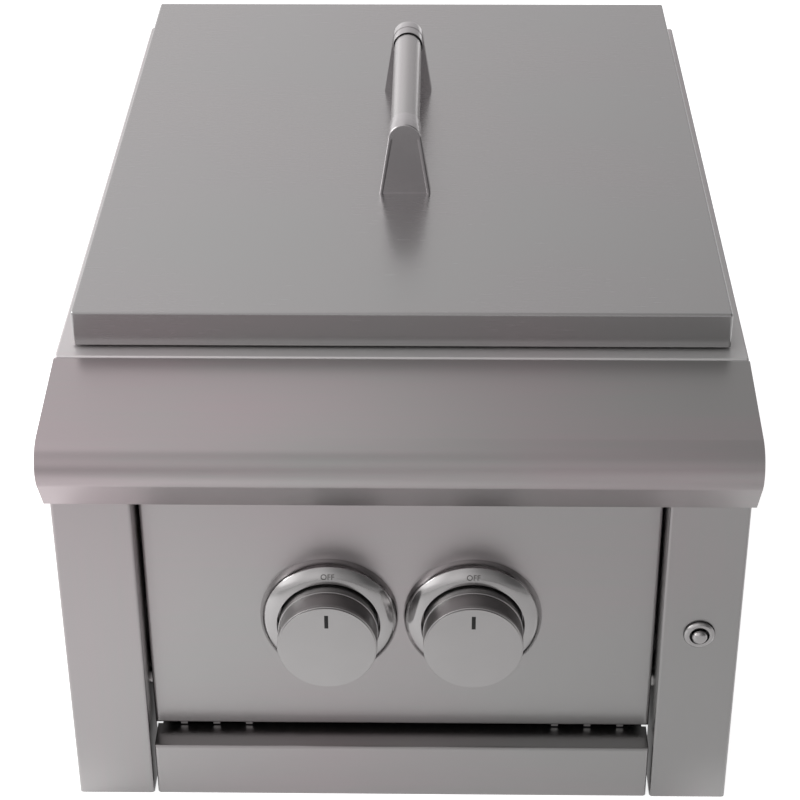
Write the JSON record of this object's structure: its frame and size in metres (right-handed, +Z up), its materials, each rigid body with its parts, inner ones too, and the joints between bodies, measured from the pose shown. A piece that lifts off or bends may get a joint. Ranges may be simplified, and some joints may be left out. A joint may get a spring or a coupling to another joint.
{
  "type": "built in side burner",
  "caption": "Built-in gas side burner in folded stainless sheet with a lift-off lid, push-and-turn knobs, a push button and a pull-out drip tray.",
  "frame": {"origin": "on the ground under the middle of the whole burner's bounding box", "axes": "+X to the right seen from the front, +Y from the control panel to the back, +Z up"},
  "size_m": [0.387, 0.564, 0.3416],
  "materials": {
    "black_plastic": "moulded spark unit",
    "brushed_stainless": "brushed stainless sheet, fine straight grain",
    "cast_brass": "cast and machined brass",
    "ceramic": "glazed ceramic",
    "plain_stainless": "mill finish stainless inner sheet",
    "polished_trim": "polished die-cast trim",
    "satin_knob": "satin turned knob with a fine knurled band",
    "soft_pad": "heat resistant silicone"
  },
  "bodies": {
    "root": {"bezel_screws": "plain_stainless", "body_wrap": "plain_stainless", "burner_pan": "plain_stainless", "burner_screws": "plain_stainless", "button_gasket": "soft_pad", "button_ring": "polished_trim", "control_panel": "brushed_stainless", "deck_rim": "brushed_stainless", "floor_pan": "plain_stainless", "front_baffle": "plain_stainless", "front_burner": "cast_brass", "front_burner_cap": "cast_brass", "front_electrode": "ceramic", "front_hood": "brushed_stainless", "front_mixing_tube": "plain_stainless", "gas_inlet_fitting": "cast_brass", "hood_screws": "plain_stainless", "igniter_housing": "black_plastic", "left_bezel": "polished_trim", "left_grate_rail": "plain_stainless", "left_orifice": "cast_brass", "left_stile": "brushed_stainless", "left_tray_rail": "plain_stainless", "left_valve_body": "cast_brass", "manifold_end_cap": "plain_stainless", "manifold_pipe": "plain_stainless", "panel_screws": "plain_stainless", "rear_burner": "cast_brass", "rear_burner_cap": "cast_brass", "rear_electrode": "ceramic", "rear_mixing_tube": "plain_stainless", "right_bezel": "polished_trim", "right_grate_rail": "plain_stainless", "right_orifice": "cast_brass", "right_stile": "brushed_stainless", "right_tray_rail": "plain_stainless", "right_valve_body": "cast_brass", "valve_screws": "plain_stainless"},
    "grate": {"cooking_grate": "brushed_stainless"},
    "lid": {"lid_shell": "brushed_stainless", "handle_front_bracket": "polished_trim", "handle_rear_bracket": "polished_trim", "handle_tube": "brushed_stainless", "lid_bumpers": "soft_pad", "handle_screws": "plain_stainless"},
    "tray": {"drip_tray": "plain_stainless", "tray_front": "brushed_stainless"},
    "left_plug": {"left_valve_plug": "cast_brass"},
    "right_plug": {"right_valve_plug": "cast_brass"},
    "left_knob": {"left_valve_stem": "cast_brass", "left_knob_body": "satin_knob", "left_knob_cap": "satin_knob"},
    "right_knob": {"right_valve_stem": "cast_brass", "right_knob_body": "satin_knob", "right_knob_cap": "satin_knob"},
    "button": {"push_button": "polished_trim"}
  },
  "joints": [
    {"name": "grate_lift", "type": "slide", "parent": "root", "child": "grate", "axis": [0, 0, 1], "range_m": [0, 0.12]},
    {"name": "lid_lift", "type": "slide", "parent": "grate", "child": "lid", "axis": [0, 0, 1], "range_m": [0, 0.2]},
    {"name": "tray_slide", "type": "slide", "parent": "root", "child": "tray", "axis": [0, -1, 0], "range_m": [0, 0.4]},
    {"name": "left_knob_turn", "type": "hinge", "parent": "root", "child": "left_plug", "pos_m": [-0.0414, -0.2369, 0.1226], "axis": [0, -1, 0], "range_deg": [0, 210]},
    {"name": "left_knob_push", "type": "slide", "parent": "left_plug", "child": "left_knob", "axis": [0, 1, 0], "range_m": [0, 0.003], "stiffness_N_per_m": 800},
    {"name": "right_knob_turn", "type": "hinge", "parent": "root", "child": "right_plug", "pos_m": [0.0414, -0.2369, 0.1226], "axis": [0, -1, 0], "range_deg": [0, 210]},
    {"name": "right_knob_push", "type": "slide", "parent": "right_plug", "child": "right_knob", "axis": [0, 1, 0], "range_m": [0, 0.003], "stiffness_N_per_m": 800},
    {"name": "button_push", "type": "slide", "parent": "root", "child": "button", "axis": [0, 1, 0], "range_m": [0, 0.003], "stiffness_N_per_m": 500}
  ]
}
